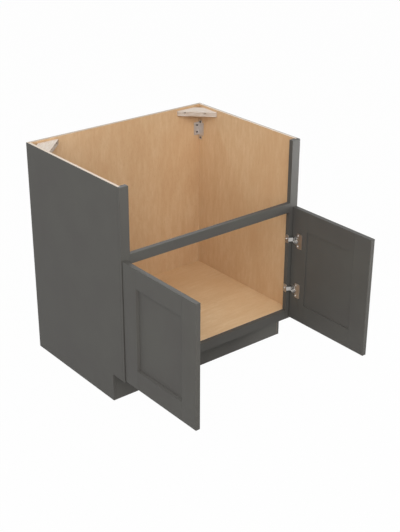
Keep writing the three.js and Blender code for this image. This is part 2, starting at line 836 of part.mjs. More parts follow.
const cabinet = new THREE.Group();
cabinet.add(backPanel(), floorPanel(), toeKickBoard());
cabinet.add(frameRail("frame_mid_rail", midRailTop - midRailHeight, midRailHeight));
cabinet.add(frameRail("frame_bottom_rail", frameBottom, bottomRailHeight));
cabinet.add(left, right);

export default cabinet;
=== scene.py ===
# %% [markdown]
# # Dressing a sink base cabinet
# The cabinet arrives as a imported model: every board, hinge and screw is already in place, at its real
# size, in metres. X runs along the front, the front faces -Y and Z is up. This lesson gives each piece its
# finish, rounds the edges that a joiner would ease, makes the small screws, and sets a camera and soft
# light round it.

# %% Load the fixed model
import json
import math

import bmesh
import bpy
from mathutils import Matrix, Vector

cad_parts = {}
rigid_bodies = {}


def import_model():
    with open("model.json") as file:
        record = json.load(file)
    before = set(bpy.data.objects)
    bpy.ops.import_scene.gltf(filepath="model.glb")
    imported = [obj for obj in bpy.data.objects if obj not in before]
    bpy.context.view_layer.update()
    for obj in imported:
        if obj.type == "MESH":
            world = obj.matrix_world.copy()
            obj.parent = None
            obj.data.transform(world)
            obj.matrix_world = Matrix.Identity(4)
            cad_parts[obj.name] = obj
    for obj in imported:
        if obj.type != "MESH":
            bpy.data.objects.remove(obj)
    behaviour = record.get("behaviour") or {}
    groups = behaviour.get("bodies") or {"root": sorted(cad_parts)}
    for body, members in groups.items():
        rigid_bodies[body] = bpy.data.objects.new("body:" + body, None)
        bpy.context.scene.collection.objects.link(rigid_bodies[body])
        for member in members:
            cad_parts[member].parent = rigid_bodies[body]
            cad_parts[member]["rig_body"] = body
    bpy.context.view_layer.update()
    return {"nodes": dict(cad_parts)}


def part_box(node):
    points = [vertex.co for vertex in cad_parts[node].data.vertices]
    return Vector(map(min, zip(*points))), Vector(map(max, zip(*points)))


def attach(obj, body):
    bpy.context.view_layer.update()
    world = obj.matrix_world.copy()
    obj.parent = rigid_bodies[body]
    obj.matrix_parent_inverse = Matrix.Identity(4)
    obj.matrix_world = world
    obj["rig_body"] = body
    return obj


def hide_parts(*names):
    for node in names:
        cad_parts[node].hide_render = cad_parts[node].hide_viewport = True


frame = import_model()
nodes = frame["nodes"]
MM = 0.001
X, Y, Z = 0, 1, 2

# %% [markdown]
# ## The camera
# The photograph was taken from the front left, a little above the open top. A camera can be placed by eye,
# but the corners of a box whose sizes are known fix it exactly, so it was solved from them: 4.2 m from the
# middle of the cabinet, turned 38 degrees and looking down 26. The lens is about 72 mm on a picture 36 mm
# high, and a small shift puts the object where the photograph has it.

# %% Camera
CAMERA_PLACE = (-2.2996, -3.3685, 2.1577)
CAMERA_TURN = math.radians(38.3824)
CAMERA_DIP = math.radians(25.6282)
PICTURE = (400, 532)
FOCAL_PIXELS = 1060.45
CENTRE_PIXEL = (190.18, 273.17)
SENSOR_MM = 36

camera_data = bpy.data.cameras.new("camera")
camera_data.sensor_fit = "VERTICAL"
camera_data.sensor_height = SENSOR_MM
camera_data.lens = FOCAL_PIXELS / PICTURE[1] * SENSOR_MM
camera_data.shift_x = (PICTURE[0] / 2 - CENTRE_PIXEL[0]) / PICTURE[1]
camera_data.shift_y = (CENTRE_PIXEL[1] - PICTURE[1] / 2) / PICTURE[1]
camera = bpy.data.objects.new("camera", camera_data)
camera.location = CAMERA_PLACE
camera.rotation_euler = (math.pi / 2 - CAMERA_DIP, 0, -CAMERA_TURN)
bpy.context.scene.collection.objects.link(camera)
bpy.context.scene.camera = camera
bpy.context.scene.view_settings.view_transform = "Standard"
print(f"lens {camera_data.lens:.1f} mm, shift {camera_data.shift_x:.4f}, {camera_data.shift_y:.4f}")

# %% [markdown]
# ## Three helpers for materials
# Colours are written as the hex values that a paint chart or a picture editor shows, and one function
# turns them to the linear light that a renderer needs. Another adds a shader node, sets it and links what
# feeds it, so that a finish reads as a list of what it is made of. The third makes a material from such a
# list. Every pattern here starts from the place on the object in metres. The other way, a picture wrapped
# round each piece, needs its surface unfolded first and loses its scale from piece to piece.

# %% Colour, node and material
def colour(hex_value):
    """A linear RGBA colour from an sRGB hex value such as "#5f5d59"."""
    channels = [int(hex_value[i : i + 2], 16) / 255 for i in (1, 3, 5)]
    linear = [c / 12.92 if c <= 0.04045 else ((c + 0.055) / 1.055) ** 2.4 for c in channels]
    return (*linear, 1.0)


def add(tree, kind, inputs=None, stops=None, **settings):
    """Adds a node. inputs maps a socket's name or number to a value or to another node's output."""
    node = tree.nodes.new(kind)
    for name, value in settings.items():
        setattr(node, name, value)
    for name, value in (inputs or {}).items():
        if isinstance(value, bpy.types.NodeSocket):
            tree.links.new(value, node.inputs[name])
        else:
            node.inputs[name].default_value = value
    if stops:
        ramp = node.color_ramp.elements
        for element, (place, hex_value) in zip(ramp, stops, strict=True):
            element.position = place
            element.color = colour(hex_value)
    return node


def make_material(name, finish, *choices):
    """A material with the shader that finish(tree, place, *choices) gives; place is in metres."""
    material = bpy.data.materials.new(name)
    material.use_nodes = True
    tree = material.node_tree
    tree.nodes.clear()
    place = add(tree, "ShaderNodeTexCoord").outputs["Object"]
    add(tree, "ShaderNodeOutputMaterial", {"Surface": finish(tree, place, *choices)})
    return material


print(f"#808080 is {colour('#808080')[0]:.3f} in linear light")

# %% [markdown]
# ## Satin paint on wood
# The frame, the doors, the toe kick and the outside of the box are sprayed with a warm grey catalysed
# lacquer. It levels well, so a flat colour with a broad soft highlight is most of the look. What keeps it
# from looking like plastic is a faint orange peel about two millimetres across, and a colour and gloss
# that drift by a shade or two over a hand's width, where the film lies thicker or thinner. A noise texture
# gives both, and a bump is enough for the peel: it is a twentieth of a millimetre deep.

# %% Satin grey lacquer
LACQUER = "#51504c"
LACQUER_THIN = "#4d4b48"
LACQUER_ROUGHNESS = (0.42, 0.5)  # at its glossiest and at its dullest
LACQUER_IOR = 1.5
LACQUER_GLOSS = 0.15  # 0.5 is a full gloss film
DRIFT_MM = 140
PEEL_MM = 2.2
PEEL_DEPTH_MM = 0.05


def lacquer_shader(tree, place):
    """Sprayed grey lacquer."""
    inputs = {"Vector": place, "Scale": 1 / (DRIFT_MM * MM), "Detail": 2.0, "Roughness": 0.5}
    drift = add(tree, "ShaderNodeTexNoise", inputs).outputs["Fac"]
    stops = [(0.3, LACQUER_THIN), (0.7, LACQUER)]
    tint = add(tree, "ShaderNodeValToRGB", {"Fac": drift}, stops=stops).outputs["Color"]
    inputs = {"Value": drift, "To Min": LACQUER_ROUGHNESS[0], "To Max": LACQUER_ROUGHNESS[1]}
    roughness = add(tree, "ShaderNodeMapRange", inputs).outputs["Result"]
    inputs = {"Vector": place, "Scale": 1 / (PEEL_MM * MM), "Detail": 1.0}
    peel = add(tree, "ShaderNodeTexNoise", inputs).outputs["Fac"]
    inputs = {"Height": peel, "Strength": 0.12, "Distance": PEEL_DEPTH_MM * MM}
    bump = add(tree, "ShaderNodeBump", inputs).outputs["Normal"]
    inputs = {
        "Base Color": tint,
        "Roughness": roughness,
        "IOR": LACQUER_IOR,
        "Specular IOR Level": LACQUER_GLOSS,
        "Normal": bump,
    }
    return add(tree, "ShaderNodeBsdfPrincipled", inputs).outputs["BSDF"]


lacquer = make_material("satin_grey_lacquer_on_wood", lacquer_shader)
print(f"{lacquer.name}: {len(lacquer.node_tree.nodes)} nodes")

# %% [markdown]
# ## Lacquered maple veneer
# The inside is plywood with a rotary-peeled maple face under clear lacquer. Peeling unrolls the log, so
# one year's ring wanders over the sheet like the contour lines of a map, stretched along the grain. Maple
# keeps this figure faint. One noise texture would look like cloud, so four are laid over each other, as
# the real sheet has four things in it: contours some centimetres apart; long bands about a centimetre wide
# where it is paler; slow patches of warmer wood; and short brown flecks a millimetre or two wide. Folding
# a slow noise back and forth gives the contours. The floor is the same maple as the walls, but its four
# colours are painted paler, as painted light on its upward face.

# %% Maple veneer
WALL_MAPLE = {"base": "#c4a27c", "pale": "#cdb08b", "warm": "#bb956d", "fleck": "#aa835b"}
# the wall maple painted paler: painted light on the upward floor
LIT_FLOOR_MAPLE = {"base": "#d1b088", "pale": "#dabe98", "warm": "#c6a177", "fleck": "#b58e65"}
MAPLE_ROUGHNESS = 0.48
WOOD_IOR = 1.5
CONTOURS = 6  # between the lowest and the highest value of its noise
FLECK_DEPTH_MM = 0.05
FIGURE = {
    # layer: (size across the grain in mm, how much longer along it, detail, roughness, distortion)
    "contours": (220, 5, 1.0, 0.5, 0.4),
    "bands": (13, 5, 4.0, 0.6, 0.0),
    "patches": (240, 1.6, 2.0, 0.5, 0.0),
    "flecks": (2.0, 7, 2.0, 0.6, 0.0),
}
LAID_OVER = [
    # (layer, its colour, the value where it starts, the value where it is full, its share there)
    ("bands", "pale", 0.4, 0.7, 0.9),
    ("patches", "warm", 0.4, 0.7, 0.6),
    ("contours", "warm", 0.4, 1.0, 0.3),
    ("flecks", "fleck", 0.55, 0.75, 0.45),
]
MIX_SHARE, MIX_UNDER, MIX_OVER, MIX_RESULT = 0, 6, 7, 2  # a Mix node's sockets when it mixes colours


def maple_layer(tree, place, layer, grain_axis, seed):
    """One of the four patterns, squeezed along the grain so that it comes out that much longer."""
    size_mm, longer, detail, roughness, distortion = FIGURE[layer]
    squeeze = [1 / longer if axis == grain_axis else 1.0 for axis in range(3)]
    inputs = {"Vector": place, "Scale": squeeze, "Location": (seed, 2 * seed, 3 * seed)}
    sheet = add(tree, "ShaderNodeMapping", inputs).outputs["Vector"]
    inputs = {
        "Vector": sheet,
        "Scale": 1 / (size_mm * MM),
        "Detail": detail,
        "Roughness": roughness,
        "Distortion": distortion,
    }
    return add(tree, "ShaderNodeTexNoise", inputs).outputs["Fac"]


def maple_shader(tree, place, veneer, grain_axis, seed):
    """Clear-lacquered maple with its grain along grain_axis."""
    layers = {layer: maple_layer(tree, place, layer, grain_axis, seed) for layer in FIGURE}
    inputs = {0: layers["contours"], 1: 2.0 * CONTOURS}
    rings = add(tree, "ShaderNodeMath", inputs, operation="MULTIPLY").outputs[0]
    layers["contours"] = add(tree, "ShaderNodeMath", {0: rings, 1: 1.0}, operation="PINGPONG").outputs[0]
    wood = colour(veneer["base"])
    for layer, tone, starts, full, most in LAID_OVER:
        inputs = {"Value": layers[layer], "From Min": starts, "From Max": full, "To Max": most}
        share = add(tree, "ShaderNodeMapRange", inputs).outputs["Result"]
        inputs = {MIX_SHARE: share, MIX_UNDER: wood, MIX_OVER: colour(veneer[tone])}
        wood = add(tree, "ShaderNodeMix", inputs, data_type="RGBA").outputs[MIX_RESULT]
    inputs = {"Height": layers["flecks"], "Strength": 0.08, "Distance": FLECK_DEPTH_MM * MM}
    bump = add(tree, "ShaderNodeBump", inputs).outputs["Normal"]
    inputs = {"Base Color": wood, "Roughness": MAPLE_ROUGHNESS, "IOR": WOOD_IOR, "Normal": bump}
    return add(tree, "ShaderNodeBsdfPrincipled", inputs).outputs["BSDF"]


print(f"maple: {len(FIGURE)} patterns, the finest {min(row[0] for row in FIGURE.values())} mm across")

# %% [markdown]
# ## Raw plywood edge
# Where a board is cut, its plies show as stripes: long grain is pale, end grain a little darker and
# rougher. The plies of these half-inch boards are about 2.8 mm thick. Each ply could be a mesh of its own,
# but glued and sawn flush they make one surface, so a wave across the board draws them, and it runs true
# along any edge. A fine noise breaks the stripes up into fibres. The sides have clean pale edges; those of
# the back and the floor are duller.

# %% Plywood edge
SIDE_PLY = {"pale": "#e8dfd7", "dark": "#cdb59a"}
BACK_PLY = {"pale": "#c7bdb2", "dark": "#ae977d"}
PLY_MM = 2.82
FIBRE_MM = 0.9
SAWN_DEPTH_MM = 0.1
SAWN_ROUGHNESS = 0.75


def ply_edge_shader(tree, place, across_axis, plies):
    """Sawn plywood with its plies stacked along across_axis."""
    across = add(tree, "ShaderNodeSeparateXYZ", {"Vector": place}).outputs[across_axis]
    inputs = {0: across, 1: 1 / (PLY_MM * MM)}
    counted = add(tree, "ShaderNodeMath", inputs, operation="MULTIPLY").outputs[0]
    stripe = add(tree, "ShaderNodeMath", {0: counted, 1: 1.0}, operation="PINGPONG").outputs[0]
    inputs = {"Vector": place, "Scale": 1 / (FIBRE_MM * MM), "Detail": 3.0}
    fibre = add(tree, "ShaderNodeTexNoise", inputs).outputs["Fac"]
    mixed = add(tree, "ShaderNodeMath", {0: fibre, 1: 0.5, 2: stripe}, operation="MULTIPLY_ADD").outputs[0]
    stops = [(0.45, plies["pale"]), (0.95, plies["dark"])]
    wood = add(tree, "ShaderNodeValToRGB", {"Fac": mixed}, stops=stops).outputs["Color"]
    inputs = {"Height": mixed, "Strength": 0.25, "Distance": SAWN_DEPTH_MM * MM}
    bump = add(tree, "ShaderNodeBump", inputs).outputs["Normal"]
    inputs = {"Base Color": wood, "Roughness": SAWN_ROUGHNESS, "IOR": WOOD_IOR, "Normal": bump}
    return add(tree, "ShaderNodeBsdfPrincipled", inputs).outputs["BSDF"]


side_low, side_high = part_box("side_panel_left")
side_thickness = side_high[0] - side_low[0]
print(f"a side is {side_thickness / MM:.1f} mm thick, or {side_thickness / (PLY_MM * MM):.1f} plies")

# %% [markdown]
# ## Boards with more than one face
# A board is one mesh, but its outside is painted, its inside is veneer and its sawn edges are bare. It
# could be given several materials, face by face. Here one material looks at which way the surface faces,
# in the board's own coordinates, and picks the finish, so the line stays sharp along the arris when the
# edge is eased later. Sprayed paint also laps over the outer arris by a couple of millimetres, which
# leaves a narrower pale line along the top of each side.

# %% Masks by direction
FACING = 0.7  # about the cosine of 45 degrees
PAINT_LAP_MM = 2.3
PAINT_LAP = PAINT_LAP_MM * MM / side_thickness


def facing_mask(tree, axis, sign):
    """1 where the surface faces along +axis or -axis, by sign."""
    normal = add(tree, "ShaderNodeTexCoord").outputs["Normal"]
    along = add(tree, "ShaderNodeSeparateXYZ", {"Vector": normal}).outputs[axis]
    operation = "GREATER_THAN" if sign > 0 else "LESS_THAN"
    return add(tree, "ShaderNodeMath", {0: along, 1: sign * FACING}, operation=operation).outputs[0]


def lap_mask(tree, axis, sign):
    """1 in the strip next to the face along +axis or -axis where its paint laps over the arris."""
    across = add(tree, "ShaderNodeTexCoord").outputs["Generated"]  # from 0 to 1 across the board
    along = add(tree, "ShaderNodeSeparateXYZ", {"Vector": across}).outputs[axis]
    limit = 1 - PAINT_LAP if sign > 0 else PAINT_LAP
    operation = "GREATER_THAN" if sign > 0 else "LESS_THAN"
    return add(tree, "ShaderNodeMath", {0: along, 1: limit}, operation=operation).outputs[0]


print(f"paint laps over {100 * PAINT_LAP:.0f}% of a side's edge")

# %% [markdown]
# ## The four boards
# A real box is cut from sheets that differ, so each board gets its own stretch of the figure: a seed moves
# the noise to another place. The grain runs upright on the walls and along the front on the floor, as a
# joiner lays it so that it shows well.

# %% Board materials
SIDE_SAWN = [(Z, 1), (Z, -1), (Y, 1)]
BOARDS = {
    # name: (veneer, plies, grain along, plies stacked along, sawn edges, painted faces, seed)
    "maple_ply_back": (WALL_MAPLE, BACK_PLY, Z, Y, [(Z, 1), (Z, -1)], [], 7.9),
    "maple_ply_floor": (LIT_FLOOR_MAPLE, BACK_PLY, X, Z, [(Y, -1), (Y, 1)], [], 5.5),
    "painted_maple_ply_left": (WALL_MAPLE, SIDE_PLY, Z, X, SIDE_SAWN, [(X, -1), (Y, -1)], 2.9),
    "painted_maple_ply_right": (WALL_MAPLE, SIDE_PLY, Z, X, SIDE_SAWN, [(X, 1), (Y, -1)], 12.4),
}


def board_shader(tree, place, veneer, plies, grain_axis, across_axis, sawn, painted, seed):
    """Veneered plywood. Faces are given as (axis, sign), and the first painted one is the outside."""
    surface = maple_shader(tree, place, veneer, grain_axis, seed)
    edge = ply_edge_shader(tree, place, across_axis, plies)
    covers = [(facing_mask(tree, *face), edge) for face in sawn]
    if painted:
        paint = lacquer_shader(tree, place)
        covers += [(facing_mask(tree, *face), paint) for face in painted]
        covers.append((lap_mask(tree, *painted[0]), paint))
    for mask, cover in covers:
        surface = add(tree, "ShaderNodeMixShader", {0: mask, 1: surface, 2: cover}).outputs[0]
    return surface


boards = {name: make_material(name, board_shader, *choices) for name, choices in BOARDS.items()}
print(f"boards: {', '.join(boards)}")

# %% [markdown]
# ## Bare wood of the corner blocks
# The blocks are offcuts of poplar, left bare: pale and slightly pink, with straight grain along their
# slanted face. The top is painted paler, as painted light from above, and the slanted face a shade
# darker, as painted shade. A noise drawn out to twelve times its width makes straight grain; a wave
# texture would be too regular for it. Bare wood has no film, so it is nearly matt.

# %% Bare poplar
# one poplar in two copies: painted light on the top, painted shade on the slanted face
LIT_TOP_POPLAR = {"pale": "#ddd0c4", "grain": "#ccb7a3"}
SHADED_FACE_POPLAR = {"pale": "#bfb4aa", "grain": "#a79583"}
POPLAR_GRAIN_MM = 3.2
POPLAR_LONGER = 12.0
POPLAR_DEPTH_MM = 0.1
POPLAR_ROUGHNESS = 0.8


def poplar_shader(tree, place, turn):
    """Bare poplar whose grain is turned by turn in the level plane."""
    inputs = {"Vector": place, "Rotation": (0, 0, turn), "Scale": (POPLAR_LONGER, 1.0, 1.0)}
    along = add(tree, "ShaderNodeMapping", inputs, vector_type="TEXTURE").outputs["Vector"]
    inputs = {"Vector": along, "Scale": 1 / (POPLAR_GRAIN_MM * MM), "Detail": 4.0, "Distortion": 0.3}
    grain = add(tree, "ShaderNodeTexNoise", inputs).outputs["Fac"]
    woods = []
    for tones in (SHADED_FACE_POPLAR, LIT_TOP_POPLAR):
        stops = [(0.35, tones["grain"]), (0.6, tones["pale"])]
        woods.append(add(tree, "ShaderNodeValToRGB", {"Fac": grain}, stops=stops).outputs["Color"])
    # the top gets the painted-light colours and the slanted face the painted-shade ones
    inputs = {MIX_SHARE: facing_mask(tree, Z, 1), MIX_UNDER: woods[0], MIX_OVER: woods[1]}
    wood = add(tree, "ShaderNodeMix", inputs, data_type="RGBA").outputs[MIX_RESULT]
    inputs = {"Height": grain, "Strength": 0.2, "Distance": POPLAR_DEPTH_MM * MM}
    bump = add(tree, "ShaderNodeBump", inputs).outputs["Normal"]
    inputs = {"Base Color": wood, "Roughness": POPLAR_ROUGHNESS, "IOR": WOOD_IOR, "Normal": bump}
    return add(tree, "ShaderNodeBsdfPrincipled", inputs).outputs["BSDF"]


poplar = {
    side: make_material(f"bare_poplar_{side}", poplar_shader, math.radians(degrees))
    for side, degrees in (("left", 45), ("right", -45))
}
print(f"poplar: {', '.join(material.name for material in poplar.values())}")

# %% [markdown]
# ## Plated and blackened steel
# The hinges are stamped steel under dull nickel, which is a little warmer than the colder, brighter zinc
# of the screws. The leaf springs are bright spring steel. The corner brackets are galvanised: duller, with
# coarser streaks, and their screws are blackened. Metals differ mostly in the colour of what they reflect
# and in how blurred it is. Stamping and plating leave fine lines, so the roughness varies in streaks drawn
# out along the upright axis, which says more than a bump at this size.

# %% Nickel, zinc and other steel
STEELS = {
    # name: (colour, colour of the paler streaks, roughness, width of a streak in mm)
    "nickel_plated_steel": ("#a9a7a5", "#b5b3b0", 0.42, 1.2),
    "bright_spring_steel": ("#c9c7c2", "#d4d2ce", 0.25, 0.8),
    "zinc_plated_steel": ("#bfc1c3", "#cfd1d3", 0.34, 1.5),
    # its slight warmth is a painted reflection of the maple round the brackets
    "galvanised_steel": ("#c6c1bd", "#d1ccc8", 0.5, 4.0),
    "black_oxide_steel": ("#4b4a49", "#5a5958", 0.45, 1.0),
}
STREAK_SQUEEZE = (1.0, 1.0, 0.12)  # makes a streak eight times as long as it is wide
ROUGHNESS_CHANGE = (-0.06, 0.08)


def steel_shader(tree, place, base, pale, roughness, streak_mm):
    """Coated steel with upright streaks."""
    along = add(tree, "ShaderNodeMapping", {"Vector": place, "Scale": STREAK_SQUEEZE}).outputs["Vector"]
    inputs = {"Vector": along, "Scale": 1 / (streak_mm * MM), "Detail": 3.0}
    streaks = add(tree, "ShaderNodeTexNoise", inputs).outputs["Fac"]
    low, high = (roughness + change for change in ROUGHNESS_CHANGE)
    inputs = {"Value": streaks, "To Min": low, "To Max": high}
    rough = add(tree, "ShaderNodeMapRange", inputs).outputs["Result"]
    stops = [(0.3, base), (0.7, pale)]
    tint = add(tree, "ShaderNodeValToRGB", {"Fac": streaks}, stops=stops).outputs["Color"]
    inputs = {"Base Color": tint, "Metallic": 1.0, "Roughness": rough}
    return add(tree, "ShaderNodeBsdfPrincipled", inputs).outputs["BSDF"]


steels = {name: make_material(name, steel_shader, *choices) for name, choices in STEELS.items()}
print(f"{len(bpy.data.materials)} materials")

# %% [markdown]
# ## Which piece has which finish
# The names say it: panels are plywood, everything of the frame and doors is lacquered, and the rest is
# metal, apart from the two blocks. A list read from the top is easier to follow than a finish set on each
# of forty pieces, and a new piece falls into its place by itself.

# %% Finish by name
FINISHES = [
    # (how a piece's name starts, its finish); the first that fits counts
    ("back_panel", boards["maple_ply_back"]),
    ("floor_panel", boards["maple_ply_floor"]),
    ("side_panel_left", boards["painted_maple_ply_left"]),
    ("side_panel_right", boards["painted_maple_ply_right"]),
    ("corner_block_left", poplar["left"]),
    ("corner_block_right", poplar["right"]),
    ("corner_bracket", steels["galvanised_steel"]),
    ("hinge_pin", steels["zinc_plated_steel"]),
    ("hinge_spring", steels["bright_spring_steel"]),
    ("hinge_", steels["nickel_plated_steel"]),
    ("", lacquer),
]


def first_that_fits(name, choices):
    """What the list of (start of a name, choice) says for this name."""
    return next(choice for start, choice in choices if name.startswith(start))


all_but_screws = [name for name in sorted(nodes) if "screw" not in name]
painted_pieces = [name for name in all_but_screws if first_that_fits(name, FINISHES) == lacquer]
print(f"{len(all_but_screws)} pieces besides the screws, {len(painted_pieces)} of them all painted")

# %% [markdown]
# ## Easing the edges
# No real board or stamping has a perfectly sharp edge, and the thin bright or dark line along an eased
# edge is much of what makes a picture look real. A shader can fake that line, but a real bevel also
# catches the light from behind and stays in the mesh. Each piece is copied, its triangles are
# merged back into whole faces, and a narrow bevel is laid along every edge that turns by more than 25
# degrees. The face frame gets 0.7 mm, boards 0.4 mm, and the crisper doors and stamped steel about a
# quarter of a millimetre.

# %% Eased copies
EASING_MM = [
    # (how a piece's name starts, the width of its bevels); the first that fits counts
    ("hinge_", 0.22),
    ("corner_bracket", 0.22),
    ("corner_block", 0.4),
    ("side_panel", 0.4),
    ("back_panel", 0.4),
    ("floor_panel", 0.4),
    ("door_", 0.25),
    ("", 0.7),
]
SHARP = math.radians(25)
FLAT = math.radians(0.5)
SAME_POINT_MM = 0.001


def whole_faces(name):
    """A mesh like a node's, with its triangles merged into whole faces."""
    shape = bmesh.new()
    shape.from_mesh(nodes[name].data)
    bmesh.ops.remove_doubles(shape, verts=shape.verts, dist=SAME_POINT_MM * MM)
    bmesh.ops.dissolve_limit(shape, angle_limit=FLAT, verts=shape.verts, edges=shape.edges)
    mesh = bpy.data.meshes.new(f"{name}_eased")
    shape.to_mesh(mesh)
    shape.free()
    for polygon in mesh.polygons:
        polygon.use_smooth = True
    mesh.set_sharp_from_angle(angle=SHARP)
    return mesh


def eased_copy(name):
    """A copy of a node with eased edges, which stands for it."""
    mesh = whole_faces(name)
    mesh.materials.append(first_that_fits(name, FINISHES))
    piece = bpy.data.objects.new(f"{name}_eased", mesh)
    bpy.context.scene.collection.objects.link(piece)
    bevel = piece.modifiers.new("easing", "BEVEL")
    bevel.width = first_that_fits(name, EASING_MM) * MM
    bevel.segments = 2
    bevel.limit_method = "ANGLE"
    bevel.angle_limit = SHARP
    bevel.harden_normals = True
    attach(piece, nodes[name]["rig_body"])
    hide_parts(name)
    return piece


eased = [eased_copy(name) for name in all_but_screws]
print(f"{len(eased)} pieces eased")

# %% [markdown]
# ## Screws with a cross recess
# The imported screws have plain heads. Here each is drawn again in its place as a pan head with a cross sunk
# into its crown. Cutting the cross with a boolean would leave ragged faces on so small a head, so the
# screw is built up from rings of vertices, and its crown is closed round the twelve corners of the cross.

# %% Sizes and rows of vertices
PAN_HEAD = [(3.9, 0.0), (3.9, 0.9), (3.6, 1.55), (3.05, 2.05), (2.35, 2.4)]  # radius and height in mm
LOW_HEAD = [(3.6, 0.0), (3.6, 0.45), (3.3, 0.95), (2.8, 1.3), (2.2, 1.5)]  # the same
SHANK_MM = 1.9
POINT_MM = 3.8
CROSS_ARM_MM = 1.7
CROSS_HALF_WIDTH_MM = 0.5
CROSS_DEPTH_MM = 1.1
CROSS_TAPER = 0.45  # size of the cross at its floor
TURNS = 24  # twice the corners of the cross


def ring(shape, radius, height):
    """A circle of vertices round Z."""
    angles = [2 * math.pi * i / TURNS for i in range(TURNS)]
    return [shape.verts.new((radius * math.cos(a), radius * math.sin(a), height)) for a in angles]


def cross(shape, scale, height):
    """The twelve corners of a cross, anticlockwise."""
    arm, half = scale * CROSS_ARM_MM, scale * CROSS_HALF_WIDTH_MM
    quarter = [Vector((arm, -half, height)), Vector((arm, half, height)), Vector((half, half, height))]
    turns = [Matrix.Rotation(i * math.pi / 2, 3, "Z") for i in range(4)]
    return [shape.verts.new(turn @ corner) for turn in turns for corner in quarter]


def band(shape, below, above):
    """Faces between two closed rows of vertices."""
    count = len(below)
    for i in range(count):
        j = (i + 1) % count
        shape.faces.new((below[i], below[j], above[j], above[i]))


print(f"a pan head is {2 * PAN_HEAD[0][0]} mm across and {PAN_HEAD[-1][1]} mm high")

# %% [markdown]
# ## The whole screw
# The shank is a plain rod with a point. Its thread is hidden in the wood, so none is drawn. The rings of
# shank and head are joined in one go, which gives a closed mesh without inner faces.

# %% Mesh of a screw
SCREW_SHARP = math.radians(35)


def crossed_crown(shape, crown, top):
    """Closes the last ring round a cross that is sunk into it."""
    mouth = cross(shape, 1.0, top)
    cross_floor = cross(shape, CROSS_TAPER, top - CROSS_DEPTH_MM)
    for i in range(len(mouth)):
        outside = [crown[(2 * i + k) % TURNS] for k in (-1, 0, 1)]
        shape.faces.new((*outside, mouth[(i + 1) % len(mouth)], mouth[i]))
    band(shape, mouth, cross_floor)
    shape.faces.new(cross_floor)


def screw_mesh(name, head, length_mm):
    """A screw along Z with the underside of its head at 0."""
    shape = bmesh.new()
    tip = shape.verts.new((0, 0, -length_mm))
    rows = [(SHANK_MM, POINT_MM - length_mm), (SHANK_MM, 0.0), *head]
    rings = [ring(shape, *row) for row in rows]
    for i in range(TURNS):
        shape.faces.new((tip, rings[0][(i + 1) % TURNS], rings[0][i]))
    for below, above in zip(rings, rings[1:]):
        band(shape, below, above)
    crossed_crown(shape, rings[-1], head[-1][1])
    bmesh.ops.recalc_face_normals(shape, faces=shape.faces)
    bmesh.ops.scale(shape, vec=(MM, MM, MM), verts=shape.verts)
    mesh = bpy.data.meshes.new(name)
    shape.to_mesh(mesh)
    shape.free()
    for polygon in mesh.polygons:
        polygon.use_smooth = True
    mesh.set_sharp_from_angle(angle=SCREW_SHARP)
    return mesh


trial = screw_mesh("trial", PAN_HEAD, 16)
print(f"a screw has {len(trial.polygons)} faces")
bpy.data.meshes.remove(trial)

# %% [markdown]
# ## Driving the screws
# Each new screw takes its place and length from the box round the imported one, and its direction from the
# name: those of the back panel point at it, and the others go sideways into the sides and the stiles. No
# two crosses stand at quite the same angle, because nobody lines them up when driving screws.

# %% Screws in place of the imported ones
DRIVEN_TURN = math.radians(37)
screws = []


def place_screw(name, head, length_mm, seat, out, body, material):
    """Puts a screw with the underside of its head at seat and its head towards out."""
    mesh = screw_mesh(name, head, length_mm)
    mesh.materials.append(material)
    piece = bpy.data.objects.new(name, mesh)
    bpy.context.scene.collection.objects.link(piece)
    aimed = out.to_track_quat("Z", "Y").to_matrix().to_4x4()
    driven = Matrix.Rotation(DRIVEN_TURN * len(screws), 4, "Z")
    piece.matrix_world = Matrix.Translation(seat) @ aimed @ driven
    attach(piece, body)
    screws.append(piece)
    return piece


for name in sorted(nodes):
    if "screw" not in name:
        continue
    low, high = (Vector(corner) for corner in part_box(name))
    inwards = Vector((1 if name.endswith("left") else -1, 0, 0))
    out = Vector((0, -1, 0)) if "_back_" in name else inwards
    half_length = abs((high - low).dot(out)) / 2
    head_height = PAN_HEAD[-1][1]
    seat = (low + high) / 2 + out * (half_length - head_height * MM)
    length_mm = 2 * half_length / MM - head_height
    steel = steels["black_oxide_steel" if name.startswith("bracket_screw") else "zinc_plated_steel"]
    body = nodes[name]["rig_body"]
    piece = place_screw(f"{name}_crossed", PAN_HEAD, length_mm, seat, out, body, steel)
    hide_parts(name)
print(f"{len(screws)} screws drawn again")

# %% [markdown]
# ## Screws of the hinge cups
# Two more screws hold each hinge cup to its door, one above the cup and one below it, through holes that
# the flange plate already has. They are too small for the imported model, so they are only drawn here, with
# a lower and slightly smaller head.

# %% Cup screws
CUP_SCREW_FROM_EDGE_MM = 22
CUP_SCREW_RISE_MM = 22.5
CUP_SCREW_LENGTH_MM = 12
zinc = steels["zinc_plated_steel"]

for name in sorted(nodes):
    if not name.startswith("hinge_cup"):
        continue
    low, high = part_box(name)
    left_hand = name.endswith("left")
    x = high[0] if left_hand else low[0]
    y = low[1] + CUP_SCREW_FROM_EDGE_MM * MM
    middle = (low[2] + high[2]) / 2
    out = Vector((1 if left_hand else -1, 0, 0))
    body = nodes[name]["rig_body"]
    for end, sign in (("lower", -1), ("upper", 1)):
        seat = Vector((x, y, middle + sign * CUP_SCREW_RISE_MM * MM))
        screw_name = f"{name}_screw_{end}"
        place_screw(screw_name, LOW_HEAD, CUP_SCREW_LENGTH_MM, seat, out, body, zinc)
print(f"{len(screws)} screws in all")

# %% [markdown]
# ## Floor
# The picture is cut out on white, with hardly any shadow. A white floor under strong light would do that,
# but it would also throw light up at the cabinet. Instead the floor is a mid grey that gives most of its
# white straight to whatever looks at it, the camera or a mirror, and not to the object. It keeps a little
# true shading, so a faint contact shadow is left.

# %% Floor
FLOOR_SIZE = 14.0
FLOOR_GREY = 0.35
FLOOR_GLOW = 0.985
UNDER_THE_CABINET_MM = 0.2


